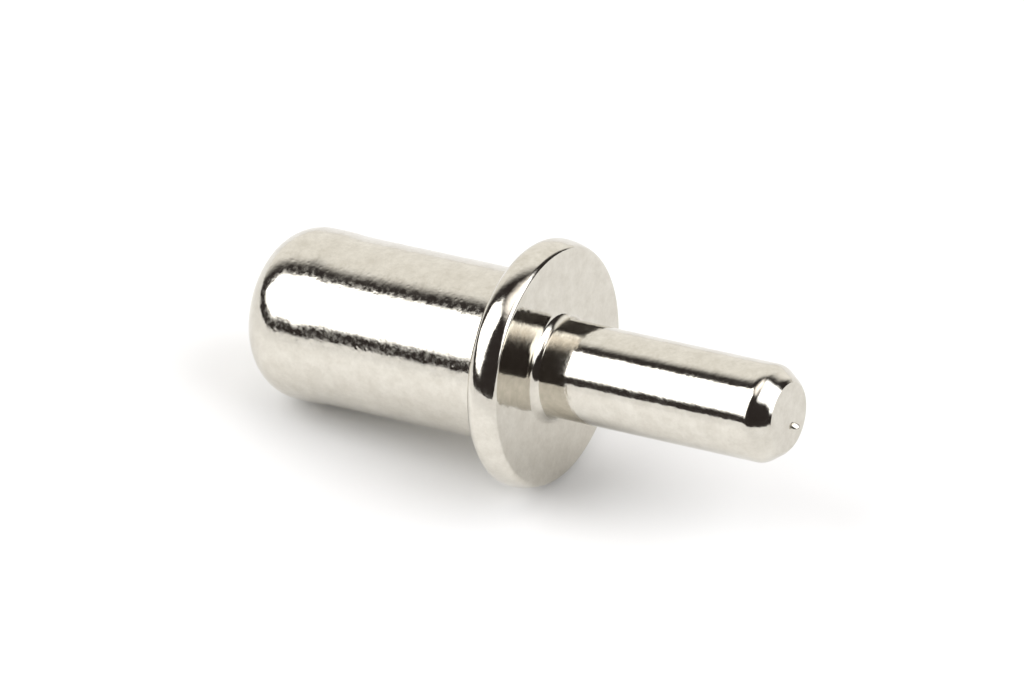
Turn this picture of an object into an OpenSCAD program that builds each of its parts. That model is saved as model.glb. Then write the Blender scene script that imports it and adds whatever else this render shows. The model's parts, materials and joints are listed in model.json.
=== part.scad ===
// Double-ended shelf support pin, turned from one piece of steel and plated.
// The thin wall pin and the thick shelf barrel share one axis, with a flange between them.
// It stands on the barrel's flat end, wall pin up. Z = 0 is the flange's seat face.
// All sizes are in millimetres.

/* [Wall pin] */
// Diameter of the thin pin that plugs into the side panel
pin_d = 2.85; // [2:0.01:4]
// Length of the thin pin, from the seat face to its end face
pin_len = 7.54; // [3:0.02:16]
// Length of the lead-in cone at the pin's end
cone_len = 0.52; // [0.1:0.02:1.5]
// How far the lead-in cone steps in from the pin's wall
cone_inset = 0.37; // [0.05:0.01:0.8]
// Radius of the hollow fillet between the pin and the seat face
root_fillet = 0.27; // [0.05:0.01:0.8]

/* [Flange] */
// Diameter over the flange's rim
flange_d = 7.24; // [6.4:0.02:12]
// Thickness from the seat face to the back face
flange_t = 0.98; // [0.7:0.02:3]
// How far the rim bulges out past the edge of the seat face
rim_crown = 0.16; // [0.05:0.01:0.4]
// Radius of the rim's rounded back edge
back_round = 0.36; // [0.1:0.02:0.6]
// Radius of the rounded edge between the seat face and the rim
seat_round = 0.17; // [0.04:0.01:0.3]

/* [Barrel] */
// Diameter of the barrel that carries the shelf
barrel_d = 4.98; // [4:0.01:5.4]
// Length of the barrel, from the flange's back face to its end
barrel_len = 8.45; // [5:0.02:20]
// How far the barrel's end swells out, to grip its hole
swell_step = 0.04; // [0.01:0.01:0.15]
// Length of the swell at its full diameter
swell_len = 0.34; // [0.2:0.02:2]
// Length over which the barrel eases out into the swell
swell_blend = 1.04; // [0.2:0.02:1.5]
// Radius of the round shoulder at the barrel's end
end_round = 1.32; // [0.3:0.02:1.9]

/* [Hidden] */
$fn = 96;

pin_r = pin_d / 2;
cone_z = pin_len - cone_len;
cone_r = pin_r - cone_inset;
fillet_r = min(root_fillet, cone_z);

flange_r = flange_d / 2;
rim_z = -(flange_t - back_round);
// The crown is an arc that leaves the rim upright and heads for the seat face
crown_r = (rim_z * rim_z + rim_crown * rim_crown) / (2 * rim_crown);
crown_mid_r = flange_r - crown_r;
// The rounded edge touches the crown from inside, at this angle, and the seat face from below
round_a = asin((-rim_z - seat_round) / (crown_r - seat_round));
seat_r = crown_mid_r + (crown_r - seat_round) * cos(round_a);
touch_z = rim_z + crown_r * sin(round_a);

barrel_r = barrel_d / 2;
swell_r = barrel_r + swell_step;
back_z = -flange_t;
end_z = back_z - barrel_len;
round_z = end_z + end_round;
swell_z = round_z + swell_len;
blend_z = swell_z + swell_blend;
// Two equal arcs make the S-curve of the blend
blend_r = (swell_blend * swell_blend + swell_step * swell_step) / (4 * swell_step);
blend_mid_z = swell_z + swell_blend / 2;
blend_mid_r = barrel_r + swell_step / 2;

// A box of the half section: out to radius r, between heights z0 and z1
module slab(r, z0, z1) {
    translate([0, z0]) square([r, z1 - z0]);
}

// A round of the half section, centred at radius r and height z
module round_at(r, z, radius) {
    translate([r, z]) circle(r = radius);
}

module wall_pin_section() {
    slab(pin_r, 0, cone_z);
    polygon([[0, cone_z], [pin_r, cone_z], [cone_r, pin_len], [0, pin_len]]);
    difference() {
        slab(pin_r + fillet_r, 0, fillet_r);
        round_at(pin_r + fillet_r, fillet_r, fillet_r);
    }
}

module flange_section() {
    slab(seat_r, rim_z, 0);
    intersection() {
        slab(flange_r, rim_z, touch_z);
        round_at(crown_mid_r, rim_z, crown_r);
    }
    round_at(seat_r, -seat_round, seat_round);
    slab(flange_r - back_round, back_z, rim_z);
    intersection() {
        slab(flange_r, back_z, rim_z);
        round_at(flange_r - back_round, rim_z, back_round);
    }
}

module barrel_section() {
    slab(barrel_r, blend_z, back_z);
    difference() {
        slab(blend_mid_r, blend_mid_z, blend_z);
        round_at(barrel_r + blend_r, blend_z, blend_r);
    }
    intersection() {
        slab(swell_r, swell_z, blend_mid_z);
        round_at(swell_r - blend_r, swell_z, blend_r);
    }
    slab(swell_r, round_z, swell_z);
    slab(swell_r - end_round, end_z, round_z);
    intersection() {
        slab(swell_r, end_z, round_z);
        round_at(swell_r - end_round, round_z, end_round);
    }
}

module shelf_pin() {
    color("#d8cfc2")
    rotate_extrude()
    union() {
        wall_pin_section();
        flange_section();
        barrel_section();
    }
}

shelf_pin();
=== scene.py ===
import json
import math

import bpy
from mathutils import Matrix, Quaternion, Vector


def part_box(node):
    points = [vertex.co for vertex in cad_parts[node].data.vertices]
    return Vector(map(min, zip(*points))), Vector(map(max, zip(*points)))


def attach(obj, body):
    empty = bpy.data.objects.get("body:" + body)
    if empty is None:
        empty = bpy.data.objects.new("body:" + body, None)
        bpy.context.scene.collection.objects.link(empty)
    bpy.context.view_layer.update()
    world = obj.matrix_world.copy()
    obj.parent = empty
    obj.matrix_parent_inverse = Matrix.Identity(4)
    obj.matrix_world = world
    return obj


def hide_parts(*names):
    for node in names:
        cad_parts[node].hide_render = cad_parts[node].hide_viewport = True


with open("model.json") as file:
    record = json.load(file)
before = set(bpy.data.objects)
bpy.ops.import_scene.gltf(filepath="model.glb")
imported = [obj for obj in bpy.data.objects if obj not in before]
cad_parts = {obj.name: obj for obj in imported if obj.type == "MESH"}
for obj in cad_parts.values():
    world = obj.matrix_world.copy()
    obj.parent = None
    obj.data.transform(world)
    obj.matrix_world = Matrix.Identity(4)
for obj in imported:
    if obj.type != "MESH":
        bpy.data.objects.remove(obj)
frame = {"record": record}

bl_info = {
    "name": "Shelf Support Pin",
    "version": (1, 0, 0),
    "blender": (4, 5, 0),
    "location": "View3D > Sidebar > Shelf Pin",
    "description": "Turns a nickel-plated shelf support pin and lays out its studio",
    "category": "Object",
}

MM = 0.001
NODE = "shelf_pin"

# The frame gives both of the pin's ends and its flange's radius in one box, and the radii of its round mounts
LOW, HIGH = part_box(NODE)
MOUNTS = {mount["name"]: mount for mount in frame["record"]["mounts"]}
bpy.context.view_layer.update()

# Vertices closer together than this become one, and edges that bend less than this are shaded smooth
WELD = MM / 10000
SMOOTH_BELOW = math.radians(25)

# Where the burr stands on the thin pin's end face, and the way that its broad side faces
BURR_X = -0.42 * MM
BURR_Y = 0.16 * MM
BURR_FACES = Vector((0.91, -0.19, 1.0))

# Levels of the plate's noises: where a cloud is all shade and where it has cleared, and where a dull speck
# begins and where it is full
CLOUD_SHADE = 0.35
CLOUD_CLEAR = 0.65
SPECK_BEGINS = 0.4
SPECK_FULL = 0.65

# The nearest and the farthest that the camera sees
NEAR_CLIP = 10 * MM
FAR_CLIP = 10000 * MM

# A Mix node's sockets go by number, because its numbers and its colours each have an A and a B
MIX_SHARE = 0
NUMBER_A = 2
NUMBER_B = 3
NUMBER_OUT = 0
COLOUR_A = 6
COLOUR_B = 7
COLOUR_OUT = 2

# The lit panels of the studio. Each faces the pin from an azimuth, counted from the away direction towards
# the right, and an elevation above the table. Its edges lie so many degrees across and up from there, and
# each edge fades over its softness, in degrees, to either side. A later panel covers the ones before it.
STUDIO_PANELS = [
    {"name": "backdrop", "facing": (0, 0), "across": (-47, 49), "up": (-5, 59.5), "soft": 10,
     "colour": "#FBF9F5", "strength": 1.17},
    {"name": "left softbox", "facing": (-100, 0), "across": (-31, 28.5), "up": (16, 71.5), "soft": 4,
     "colour": "#FFFFFF", "strength": 3.4},
    {"name": "right softbox", "facing": (108, 50), "across": (-23.5, 26), "up": (-38, 15), "soft": 6,
     "colour": "#FBFCFF", "strength": 3.2},
    {"name": "ceiling", "facing": (-125, 79), "across": (-18, 6.5), "up": (-1, 37), "soft": 9,
     "colour": "#FFFAF6", "strength": 2.2},
]


def linear(hex_colour):
    """Turn an sRGB hex colour into the linear RGBA that shaders take."""
    channels = [int(hex_colour[i:i + 2], 16) / 255 for i in (1, 3, 5)]
    return tuple(c / 12.92 if c <= 0.04045 else ((c + 0.055) / 1.055) ** 2.4 for c in channels) + (1.0,)


def mount_radius(name):
    """Radius in metres that the record states for a round mount."""
    return MOUNTS[name]["dims"]["r_mm"] * MM


def length(name, description, millimetres):
    """A length property whose default is given in millimetres."""
    return bpy.props.FloatProperty(
        name=name, description=description, default=millimetres * MM, min=0.0, unit="LENGTH", precision=5
    )


def angle(name, description, degrees):
    """An angle property whose default is given in degrees."""
    return bpy.props.FloatProperty(
        name=name, description=description, default=math.radians(degrees), subtype="ANGLE"
    )


def share(name, description, value):
    """A property from 0 to 1."""
    return bpy.props.FloatProperty(
        name=name, description=description, default=value, min=0.0, max=1.0, subtype="FACTOR"
    )


def tint(name, description, hex_colour):
    """A colour property that holds an sRGB hex value."""
    return bpy.props.StringProperty(
        name=name, description=description + ", as an sRGB hex value", default=hex_colour
    )


class PinSizes(bpy.types.PropertyGroup):
    """Sizes of the turned form that the frame's box and mounts don't give."""

    flange_thickness: length("Flange thickness", "From the seat face to the flange's back face", 0.98)
    rim_crown: length("Rim crown", "How far the rim's arc leans in before it meets the seat face", 0.16)
    back_round: length("Back round", "Radius of the rim's rounded back edge", 0.36)
    edge_round: length("Edge round", "Radius of the rounded edge between the seat face and the rim", 0.17)
    root_fillet: length("Root fillet", "Radius of the hollow fillet at the thin pin's root", 0.27)
    cone_length: length("Cone length", "Length of the lead-in cone at the thin pin's end", 0.52)
    cone_inset: length("Cone inset", "How far the lead-in cone steps in", 0.37)
    cone_foot_round: length("Cone foot round", "Radius of the rounded edge at the lead-in cone's foot", 0.5)
    tip_bevel: length("Tip bevel", "Length of the narrow bevel between the cone and the end face", 0.084)
    tip_inset: length("Tip inset", "How far that bevel steps in", 0.1)
    swell_step: length("Swell step", "How far the barrel's end swells out", 0.04)
    swell_length: length("Swell length", "Length of the swell at its full diameter", 0.34)
    swell_blend: length("Swell blend", "Length over which the barrel eases into the swell", 1.04)
    end_round: length("End round", "Radius of the round shoulder at the barrel's end", 1.32)
    burr_length: length("Burr length", "Length of the cut-off burr on the thin pin's end", 0.3)
    burr_width: length("Burr width", "Width of the cut-off burr", 0.22)
    burr_thickness: length("Burr thickness", "Thickness of the cut-off burr", 0.08)
    burr_height: length("Burr height", "How far the burr's middle stands above the end face", 0.06)
    turns: bpy.props.IntProperty(
        name="Facets round", description="Number of facets around the axis", default=288, min=24
    )


class PinFinish(bpy.types.PropertyGroup):
    """Look of the bright nickel plate."""

    nickel: tint("Nickel", "Colour of the bright plate", "#D8D4CA")
    nickel_shade: tint("Nickel shade", "Colour of the plate's duller clouds", "#C9C4B9")
    cloud_spacing: length("Cloud spacing", "From cloud to cloud in the plate", 0.5)
    peel_spacing: length("Peel spacing", "From ripple to ripple of the orange peel", 0.3)
    peel_depth: length("Peel depth", "Height of the orange peel's ripples", 0.0045)
    grain_spacing: length("Grain spacing", "From grain to grain of the steel under the plate", 0.14)
    grain_depth: length("Grain depth", "Height of that grain", 0.0013)
    pit_spacing: length("Pit spacing", "From one shallow pit to the next", 0.25)
    pit_width: length("Pit width", "Width of a pit", 0.15)
    pit_depth: length("Pit depth", "Depth of a pit", 0.0016)
    glossiest: share("Glossiest", "Roughness of the plate between its dull specks", 0.08)
    dullest: share("Dullest", "Roughness of the barrel's dullest specks", 0.19)
    fine_share: share("Fine share", "Share of the barrel's coarseness on the flange and thin pin", 0.35)
    coarse_below: length("Coarse below", "How far under the seat face the coarse plate ends", 1.2)
    fine_above: length("Fine above", "How far under the seat face the fine plate begins", 0.7)


class PinStudio(bpy.types.PropertyGroup):
    """How the pin lies before the camera, and the paper and room around it."""

    roll: angle("Roll", "Side of the pin that faces up from the table, around its axis", -45.0)
    turn: angle("Turn", "How far the thin pin turns towards the camera, from lying square to it", 30.14)
    elevation: angle("Camera elevation", "Height of the camera above the table", 37.3)
    distance: length("Camera distance", "From the camera to the middle of the pin", 280.0)
    lens: bpy.props.FloatProperty(
        name="Lens", description="Focal length of the camera", default=345.0, unit="CAMERA"
    )
    aim: length("Aim", "How far from the seat face towards the barrel the camera aims", 1.53)
    rise: length("Rise", "How far above the axis the camera aims", 0.46)
    room: tint("Room", "Colour of the dark room between the lit panels", "#383332")
    table_width: length("Table width", "Width of the sheet of paper", 2000.0)
    paper_white: share("Paper white", "Brightness of the paper to the camera", 0.91)
    # These six set the paper's painted pool of light as the metal sees it: its brightness in the middle and
    # far out, where its middle lies, and how far it spreads
    paper_bright: share("Paper bright", "Brightness to the metal of the paper's brightest spot", 0.955)
    paper_dim: share("Paper dim", "Brightness to the metal of the paper far from that spot", 0.83)
    bright_left: length("Bright left", "How far left of the seat face that spot lies", 8.0)
    bright_near: length("Bright near", "How far in front of the seat face that spot lies", 4.0)
    bright_reach: length("Bright reach", "Distance from the spot's middle at which the paper dims", 4.0)
    dim_reach: length("Dim reach", "Distance from the spot's middle at which it is dim", 22.0)
    paper_fill: share("Paper fill", "Light from overhead that only matt surfaces get", 0.4)


def arc(centre_r, centre_z, radius, start, end, steps):
    """Points of the outline along an arc, between two angles in degrees, its start left out."""
    sweep = [math.radians(start + (end - start) * i / steps) for i in range(1, steps + 1)]
    return [(centre_r + radius * math.cos(a), centre_z + radius * math.sin(a)) for a in sweep]


def straight(start, end, steps):
    """Points of the outline along a straight line, its start left out."""
    return [
        (start[0] + (end[0] - start[0]) * i / steps, start[1] + (end[1] - start[1]) * i / steps)
        for i in range(1, steps + 1)
    ]


def corner(start, apex, end, radius, steps):
    """Points of the outline around a rounded corner between two straight lines."""
    apex = Vector(apex)
    back = (Vector(start) - apex).normalized()
    ahead = (Vector(end) - apex).normalized()
    half = back.angle(ahead) / 2
    centre = apex + (back + ahead).normalized() * radius / math.sin(half)
    first = apex + back * radius / math.tan(half)
    last = apex + ahead * radius / math.tan(half)
    turn = [math.degrees(math.atan2(p.y - centre.y, p.x - centre.x)) for p in (first, last)]
    return [tuple(first)] + arc(centre.x, centre.y, radius, turn[0], turn[1], steps)


def barrel_outline(sizes):
    """From the axis, across the barrel's end, round its shoulder and over its swell to the flange."""
    swell_r = mount_radius("barrel_grip")
    barrel_r = swell_r - sizes.swell_step
    end_r = swell_r - sizes.end_round
    round_z = LOW.z + sizes.end_round
    swell_z = round_z + sizes.swell_length
    blend_z = swell_z + sizes.swell_blend
    blend_r = (sizes.swell_blend ** 2 + sizes.swell_step ** 2) / (4 * sizes.swell_step)
    blend_angle = math.degrees(math.asin(sizes.swell_blend / (2 * blend_r)))

    points = [(0.0, LOW.z)]
    points += straight(points[-1], (end_r, LOW.z), steps=4)
    points += arc(end_r, round_z, sizes.end_round, -90, 0, steps=40)
    points += straight(points[-1], (swell_r, swell_z), steps=4)
    points += arc(swell_r - blend_r, swell_z, blend_r, 0, blend_angle, steps=8)
    points += arc(barrel_r + blend_r, blend_z, blend_r, 180 + blend_angle, 180, steps=8)
    points += straight(points[-1], (barrel_r, -sizes.flange_thickness), steps=24)
    return points


def flange_outline(sizes, start):
    """From the barrel, across the flange's back, over its crowned rim and in along the seat face."""
    back_r = HIGH.x - sizes.back_round
    back_z = -sizes.flange_thickness
    rim_z = back_z + sizes.back_round
    crown_r = (rim_z ** 2 + sizes.rim_crown ** 2) / (2 * sizes.rim_crown)
    edge = sizes.edge_round
    edge_angle = math.asin((-rim_z - edge) / (crown_r - edge))
    edge_r = HIGH.x - crown_r + (crown_r - edge) * math.cos(edge_angle)
    edge_angle = math.degrees(edge_angle)
    fillet_r = mount_radius("wall_pin") + sizes.root_fillet

    points = straight(start, (back_r, back_z), steps=3)
    points += arc(back_r, rim_z, sizes.back_round, -90, 0, steps=20)
    points += arc(HIGH.x - crown_r, rim_z, crown_r, 0, edge_angle, steps=16)
    points += arc(edge_r, -edge, edge, edge_angle, 90, steps=8)
    points += straight(points[-1], (fillet_r, 0.0), steps=10)
    return points


def thin_pin_outline(sizes):
    """From the root fillet, up the thin pin and its lead-in cone and across its end face to the axis."""
    pin_r = mount_radius("wall_pin")
    fillet = sizes.root_fillet
    cone_foot = pin_r, HIGH.z - sizes.cone_length
    cone_top = pin_r - sizes.cone_inset, HIGH.z
    bevel_r = cone_top[0] + sizes.tip_bevel * sizes.cone_inset / sizes.cone_length

    points = arc(pin_r + fillet, fillet, fillet, 270, 180, steps=16)
    foot_turn = corner(points[-1], cone_foot, cone_top, sizes.cone_foot_round, steps=6)
    points += straight(points[-1], foot_turn[0], steps=24)
    points += foot_turn[1:]
    points += straight(points[-1], (bevel_r, HIGH.z - sizes.tip_bevel), steps=3)
    points += straight(points[-1], (bevel_r - sizes.tip_inset, HIGH.z), steps=3)
    points += straight(points[-1], (0.0, HIGH.z), steps=4)
    return points


def pin_outline(sizes):
    """Half section of the whole pin, from the barrel's end to the thin pin's end."""
    points = barrel_outline(sizes)
    points += flange_outline(sizes, points[-1])
    points += thin_pin_outline(sizes)
    return points


def turn_outline(points, facets):
    """Draw the outline vertex by vertex from one point, then spin it round the axis."""
    bpy.ops.object.select_all(action="DESELECT")
    start_r, start_z = points[0]
    bpy.ops.mesh.primitive_plane_add(size=MM, location=(start_r, 0.0, start_z))
    bpy.ops.object.transform_apply(location=True)
    bpy.ops.object.mode_set(mode="EDIT")
    bpy.ops.mesh.merge(type="CENTER")
    for (r0, z0), (r1, z1) in zip(points, points[1:]):
        bpy.ops.mesh.extrude_vertices_move(TRANSFORM_OT_translate={"value": (r1 - r0, 0.0, z1 - z0)})
    bpy.ops.mesh.select_all(action="SELECT")
    bpy.ops.mesh.spin(
        steps=facets, angle=math.tau, center=(0.0, 0.0, 0.0), axis=(0.0, 0.0, 1.0), use_auto_merge=True
    )
    bpy.ops.mesh.select_all(action="SELECT")
    bpy.ops.mesh.remove_doubles(threshold=WELD)
    bpy.ops.mesh.normals_make_consistent(inside=False)
    bpy.ops.object.mode_set(mode="OBJECT")
    return bpy.context.object


def raise_burr(pin, sizes):
    """Leave the burr of the cut-off on the thin pin's end face, as part of the pin."""
    bpy.ops.object.select_all(action="DESELECT")
    bpy.ops.mesh.primitive_uv_sphere_add(segments=32, ring_count=16, radius=1.0)
    burr = bpy.context.object
    burr.scale = sizes.burr_length / 2, sizes.burr_width / 2, sizes.burr_thickness / 2
    bpy.ops.object.transform_apply()
    # It leans like a flake that the parting tool has lifted
    burr.rotation_mode = "QUATERNION"
    burr.rotation_quaternion = Vector((0.0, 0.0, 1.0)).rotation_difference(BURR_FACES)
    burr.location = BURR_X, BURR_Y, HIGH.z + sizes.burr_height
    bpy.ops.object.transform_apply()
    pin.select_set(True)
    bpy.context.view_layer.objects.active = pin
    bpy.ops.object.join()


def blank_tree(owner):
    """Give a material or a world an empty node tree."""
    owner.use_nodes = True
    owner.node_tree.nodes.clear()
    return owner.node_tree


def add(tree, kind, *links, **settings):
    """Add a node, set its properties and constant inputs, and link sockets to its other inputs.

    An input goes by its name, or by its number where several share a name.
    """
    node = tree.nodes.new(kind)
    inputs = settings.pop("inputs", {})
    for name, value in settings.items():
        setattr(node, name, value)
    for key, value in inputs.items():
        node.inputs[key].default_value = value
    for key, socket in links:
        tree.links.new(socket, node.inputs[key])
    return node


def plate_coarseness(tree, place, finish):
    """1 on the barrel, and less on the flange and the thin pin, which are turned finer."""
    height = add(tree, "ShaderNodeSeparateXYZ", ("Vector", place)).outputs["Z"]
    coarse = add(tree, "ShaderNodeMapRange", ("Value", height), interpolation_type="SMOOTHSTEP",
                 inputs={"From Min": -finish.coarse_below, "From Max": -finish.fine_above,
                         "To Min": 1.0, "To Max": finish.fine_share})
    return coarse.outputs["Result"]


def plate_relief(tree, place, grain, coarse, finish):
    """Normals of the plate's ripples, grain and pits."""
    # The orange peel's ripples make the edges of reflections waver
    peel = add(tree, "ShaderNodeTexNoise", ("Vector", place),
               inputs={"Scale": 1 / finish.peel_spacing, "Detail": 2.0, "Roughness": 0.55})
    rippled = add(tree, "ShaderNodeBump", ("Height", peel.outputs["Fac"]),
                  inputs={"Strength": 1.0, "Distance": finish.peel_depth})
    # The steel's grain breaks those edges up
    grained = add(tree, "ShaderNodeBump", ("Height", grain), ("Normal", rippled.outputs["Normal"]),
                  ("Strength", coarse), inputs={"Distance": finish.grain_depth})
    # Each shallow pit throws a bright or dark speck
    cells = add(tree, "ShaderNodeTexVoronoi", ("Vector", place), inputs={"Scale": 1 / finish.pit_spacing})
    pits = add(tree, "ShaderNodeMapRange", ("Value", cells.outputs["Distance"]),
               interpolation_type="SMOOTHSTEP",
               inputs={"From Max": finish.pit_width / 2 / finish.pit_spacing})
    pitted = add(tree, "ShaderNodeBump", ("Height", pits.outputs["Result"]),
                 ("Normal", grained.outputs["Normal"]), ("Strength", coarse),
                 inputs={"Distance": finish.pit_depth})
    return pitted.outputs["Normal"]


def plate_colour(tree, place, finish):
    """Faint clouds, broken up into specks, tone the plate."""
    clouds = add(tree, "ShaderNodeTexNoise", ("Vector", place),
                 inputs={"Scale": 1 / finish.cloud_spacing, "Detail": 5.0, "Roughness": 0.8})
    tone = add(tree, "ShaderNodeMapRange", ("Value", clouds.outputs["Fac"]),
               inputs={"From Min": CLOUD_SHADE, "From Max": CLOUD_CLEAR})
    mix = add(tree, "ShaderNodeMix", (MIX_SHARE, tone.outputs["Result"]), data_type="RGBA",
              inputs={COLOUR_A: linear(finish.nickel_shade), COLOUR_B: linear(finish.nickel)})
    return mix.outputs[COLOUR_OUT]


def plate_roughness(tree, grain, coarse, finish):
    """The plate is duller in specks where the grain stands up, which lightens its dark reflections."""
    dullest = add(tree, "ShaderNodeMapRange", ("Value", coarse),
                  inputs={"To Min": finish.glossiest, "To Max": finish.dullest})
    specks = add(tree, "ShaderNodeMapRange", ("Value", grain), ("To Max", dullest.outputs["Result"]),
                 inputs={"From Min": SPECK_BEGINS, "From Max": SPECK_FULL, "To Min": finish.glossiest})
    return specks.outputs["Result"]


def nickel_plate(finish):
    """Bright nickel plate over turned steel: a warm mirror whose orange peel ripples what it reflects."""
    material = bpy.data.materials.new("bright_nickel_plate")
    tree = blank_tree(material)
    place = add(tree, "ShaderNodeTexCoord").outputs["Object"]
    grain = add(tree, "ShaderNodeTexNoise", ("Vector", place),
                inputs={"Scale": 1 / finish.grain_spacing, "Detail": 1.0, "Roughness": 0.5}).outputs["Fac"]
    coarse = plate_coarseness(tree, place, finish)
    plate = add(tree, "ShaderNodeBsdfPrincipled",
                ("Base Color", plate_colour(tree, place, finish)),
                ("Roughness", plate_roughness(tree, grain, coarse, finish)),
                ("Normal", plate_relief(tree, place, grain, coarse, finish)),
                inputs={"Metallic": 1.0})
    add(tree, "ShaderNodeOutputMaterial", ("Surface", plate.outputs["BSDF"]))
    return material


class PIN_OT_turn(bpy.types.Operator):
    """Turn the whole pin from one bar and plate it"""

    bl_idname = "shelf_pin.turn"
    bl_label = "Turn the pin"

    def execute(self, context):
        sizes = context.scene.pin_sizes
        piece = turn_outline(pin_outline(sizes), sizes.turns)
        raise_burr(piece, sizes)
        piece.name = "pin_body"
        piece.data.name = "pin_body"
        bpy.ops.object.shade_smooth_by_angle(angle=SMOOTH_BELOW)
        piece.data.materials.clear()
        piece.data.materials.append(nickel_plate(context.scene.pin_finish))
        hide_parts(NODE)
        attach(piece, "root")
        return {"FINISHED"}


def resting_lean(sizes):
    """Angle between the axis and a table that the flange's rim and the barrel's shoulder both touch."""
    rim = Vector((HIGH.x - sizes.back_round, -sizes.flange_thickness + sizes.back_round))
    shoulder = Vector((mount_radius("barrel_grip") - sizes.end_round, LOW.z + sizes.end_round))
    apart = rim - shoulder
    return math.acos((sizes.end_round - sizes.back_round) / apart.length) - math.atan2(apart.y, apart.x)


def studio_axes(studio, sizes):
    """The studio's right, away and up directions in the pin's frame."""
    lean = resting_lean(sizes)
    side = Vector((math.cos(studio.roll), math.sin(studio.roll), 0.0))
    axis = Vector((0.0, 0.0, 1.0))
    up = side * math.cos(lean) + axis * math.sin(lean)
    along = (axis - up * axis.dot(up)).normalized()
    right = Quaternion(up, studio.turn) @ along
    return right, up.cross(right), up


def placed(place, x_axis, y_axis, z_axis):
    """Matrix of an object at a place, with its own axes along three directions."""
    return Matrix.Translation(place) @ Matrix((x_axis, y_axis, z_axis)).transposed().to_4x4()


def place_camera(studio, right, away, up):
    """Put the camera in front of the lying pin, level with the table's far edge."""
    back = up * math.sin(studio.elevation) - away * math.cos(studio.elevation)
    over = back.cross(right)
    target = Vector((0.0, 0.0, -studio.aim)) + over * studio.rise
    camera = bpy.data.cameras.new("camera")
    camera.lens = studio.lens
    camera.clip_start = NEAR_CLIP
    camera.clip_end = FAR_CLIP
    holder = bpy.data.objects.new("camera", camera)
    bpy.context.scene.collection.objects.link(holder)
    holder.matrix_world = placed(target + back * studio.distance, right, over, back)
    bpy.context.scene.camera = holder


def table_paper(studio, bright):
    """Matt white paper, which carries a painted pool of light for the metal; from its back it is clear, so
    that it hides nothing from other sides.
    """
    material = bpy.data.materials.new("white_paper")
    tree = blank_tree(material)
    # The metal sees the paper dim away from its brightest spot, a painted pool of light; the camera sees it
    # evenly white
    place = add(tree, "ShaderNodeTexCoord").outputs["Object"]
    reach = add(tree, "ShaderNodeVectorMath", (0, place), operation="DISTANCE", inputs={1: bright})
    dim = add(tree, "ShaderNodeMapRange", ("Value", reach.outputs["Value"]), interpolation_type="SMOOTHSTEP",
              inputs={"From Min": studio.bright_reach, "From Max": studio.dim_reach,
                      "To Min": studio.paper_bright, "To Max": studio.paper_dim})
    seen = add(tree, "ShaderNodeLightPath").outputs["Is Camera Ray"]
    white = add(tree, "ShaderNodeMix", (MIX_SHARE, seen), (NUMBER_A, dim.outputs["Result"]),
                inputs={NUMBER_B: studio.paper_white})
    paper = add(tree, "ShaderNodeBsdfDiffuse", ("Color", white.outputs[NUMBER_OUT]))
    clear = add(tree, "ShaderNodeBsdfTransparent")
    side = add(tree, "ShaderNodeNewGeometry")
    sheet = add(tree, "ShaderNodeMixShader", (0, side.outputs["Backfacing"]),
                (1, paper.outputs["BSDF"]), (2, clear.outputs["BSDF"]))
    add(tree, "ShaderNodeOutputMaterial", ("Surface", sheet.outputs["Shader"]))
    return material


def lay_table(studio, sizes, right, away, up):
    """A sheet of paper that the rim and the barrel's shoulder touch."""
    lean = resting_lean(sizes)
    rim_r = HIGH.x - sizes.back_round
    rim_depth = sizes.flange_thickness - sizes.back_round
    drop = rim_r * math.cos(lean) + rim_depth * math.sin(lean) + sizes.back_round
    bpy.ops.object.select_all(action="DESELECT")
    bpy.ops.mesh.primitive_plane_add(size=studio.table_width)
    table = bpy.context.object
    table.name = "table"
    table.matrix_world = placed(-up * drop, right, away, up)
    bpy.ops.object.transform_apply()
    # The middle of the paper's painted pool of light
    bright = -right * studio.bright_left - away * studio.bright_near - up * drop
    table.data.materials.append(table_paper(studio, bright))


def panel_axes(azimuth, elevation, right, away, up):
    """Directions across, up and straight at a panel that faces the pin from there."""
    level = right * math.sin(azimuth) + away * math.cos(azimuth)
    facing = level * math.cos(elevation) + up * math.sin(elevation)
    across = facing.cross(up).normalized()
    return across, across.cross(facing), facing


def panel_mask(tree, look, panel, axes):
    """Where a look direction meets a panel, from 0 to 1 over its soft edges."""
    across, over, facing = panel_axes(*map(math.radians, panel["facing"]), *axes)
    ahead = add(tree, "ShaderNodeVectorMath", (0, look), operation="DOT_PRODUCT", inputs={1: facing})
    mask = add(tree, "ShaderNodeMath", (0, ahead.outputs["Value"]), operation="GREATER_THAN", inputs={1: 0.0})
    soft = math.radians(panel["soft"])
    for axis, edges in ((across, panel["across"]), (over, panel["up"])):
        low, high = map(math.radians, edges)
        aside = add(tree, "ShaderNodeVectorMath", (0, look), operation="DOT_PRODUCT", inputs={1: axis})
        turned = add(tree, "ShaderNodeMath", (0, aside.outputs["Value"]), (1, ahead.outputs["Value"]),
                     operation="ARCTAN2")
        offset = add(tree, "ShaderNodeMath", (0, turned.outputs["Value"]), operation="SUBTRACT",
                     inputs={1: (low + high) / 2})
        spread = add(tree, "ShaderNodeMath", (0, offset.outputs["Value"]), operation="ABSOLUTE")
        within = add(tree, "ShaderNodeMapRange", ("Value", spread.outputs["Value"]),
                     interpolation_type="SMOOTHSTEP",
                     inputs={"From Min": (high - low) / 2 - soft, "From Max": (high - low) / 2 + soft,
                             "To Min": 1.0, "To Max": 0.0})
        mask = add(tree, "ShaderNodeMath", (0, mask.outputs["Value"]), (1, within.outputs["Result"]),
                   operation="MULTIPLY")
    return mask.outputs["Value"]


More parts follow.
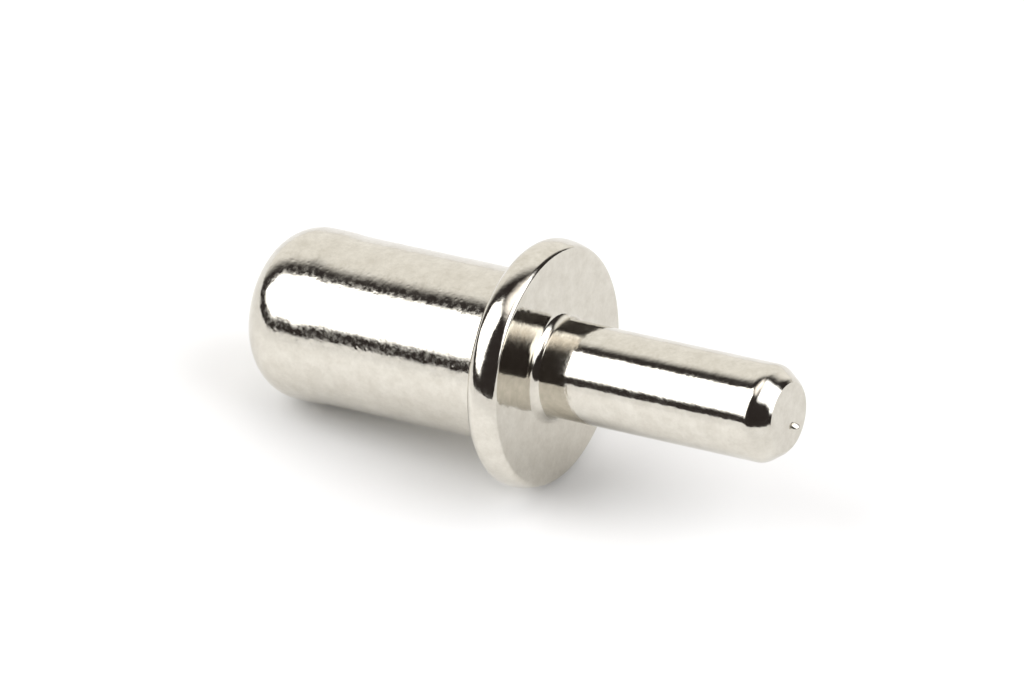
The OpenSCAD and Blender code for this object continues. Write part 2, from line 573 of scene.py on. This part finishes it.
def light_studio(studio, right, away, up):
    """Softboxes, a backdrop and a dark room, painted by direction on the world."""
    world = bpy.data.worlds.new("studio")
    bpy.context.scene.world = world
    tree = blank_tree(world)
    look = add(tree, "ShaderNodeTexCoord").outputs["Generated"]
    colour = add(tree, "ShaderNodeRGB").outputs[0]
    colour.default_value = linear(studio.room)
    for panel in STUDIO_PANELS:
        light = [channel * panel["strength"] for channel in linear(panel["colour"])[:3]] + [1.0]
        mask = panel_mask(tree, look, panel, (right, away, up))
        colour = add(tree, "ShaderNodeMix", (MIX_SHARE, mask), (COLOUR_A, colour), data_type="RGBA",
                     inputs={COLOUR_B: light}, label=panel["name"]).outputs[COLOUR_OUT]
    ray = add(tree, "ShaderNodeLightPath")
    # Matt surfaces also get a soft light from overhead, which the metal doesn't mirror
    height = add(tree, "ShaderNodeVectorMath", (0, look), operation="DOT_PRODUCT", inputs={1: up})
    overhead = add(tree, "ShaderNodeMath", (0, height.outputs["Value"]), operation="MULTIPLY",
                   inputs={1: studio.paper_fill})
    fill = add(tree, "ShaderNodeMix", (MIX_SHARE, ray.outputs["Is Diffuse Ray"]), (COLOUR_A, colour),
               (COLOUR_B, overhead.outputs["Value"]), data_type="RGBA", blend_type="LIGHTEN",
               label="paper fill")
    lit = add(tree, "ShaderNodeBackground", ("Color", fill.outputs[COLOUR_OUT]))
    # The camera sees plain white behind everything
    backing = add(tree, "ShaderNodeBackground", inputs={"Color": linear("#FFFFFF")})
    mix = add(tree, "ShaderNodeMixShader", (0, ray.outputs["Is Camera Ray"]),
              (1, lit.outputs["Background"]), (2, backing.outputs["Background"]))
    add(tree, "ShaderNodeOutputWorld", ("Surface", mix.outputs["Shader"]))


class PIN_OT_stage(bpy.types.Operator):
    """Lay the table under the lying pin, light it and place the camera"""

    bl_idname = "shelf_pin.stage"
    bl_label = "Set the stage"

    def execute(self, context):
        sizes = context.scene.pin_sizes
        studio = context.scene.pin_studio
        right, away, up = studio_axes(studio, sizes)
        place_camera(studio, right, away, up)
        lay_table(studio, sizes, right, away, up)
        light_studio(studio, right, away, up)
        context.scene.view_settings.view_transform = "Standard"
        return {"FINISHED"}


class PIN_PT_panel(bpy.types.Panel):
    """Lists the pin's sizes, finish, studio and operators"""

    bl_idname = "PIN_PT_panel"
    bl_label = "Shelf Support Pin"
    bl_space_type = "VIEW_3D"
    bl_region_type = "UI"
    bl_category = "Shelf Pin"

    def draw(self, context):
        for group in (context.scene.pin_sizes, context.scene.pin_finish, context.scene.pin_studio):
            box = self.layout.box()
            for name in group.__annotations__:
                box.prop(group, name)
        for operator in OPERATORS:
            self.layout.operator(operator.bl_idname)


OPERATORS = (PIN_OT_stage, PIN_OT_turn)
GROUPS = {"pin_sizes": PinSizes, "pin_finish": PinFinish, "pin_studio": PinStudio}
CLASSES = (*GROUPS.values(), *OPERATORS, PIN_PT_panel)


def register():
    """Register the classes and hang the property groups on the scene."""
    for cls in CLASSES:
        bpy.utils.register_class(cls)
    for name, group in GROUPS.items():
        setattr(bpy.types.Scene, name, bpy.props.PointerProperty(type=group))


def unregister():
    """Undo register, in reverse order."""
    for name in GROUPS:
        delattr(bpy.types.Scene, name)
    for cls in reversed(CLASSES):
        bpy.utils.unregister_class(cls)


def main():
    """Set the stage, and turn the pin."""
    register()
    bpy.ops.shelf_pin.stage()
    bpy.ops.shelf_pin.turn()


if __name__ == "__main__":
    main()
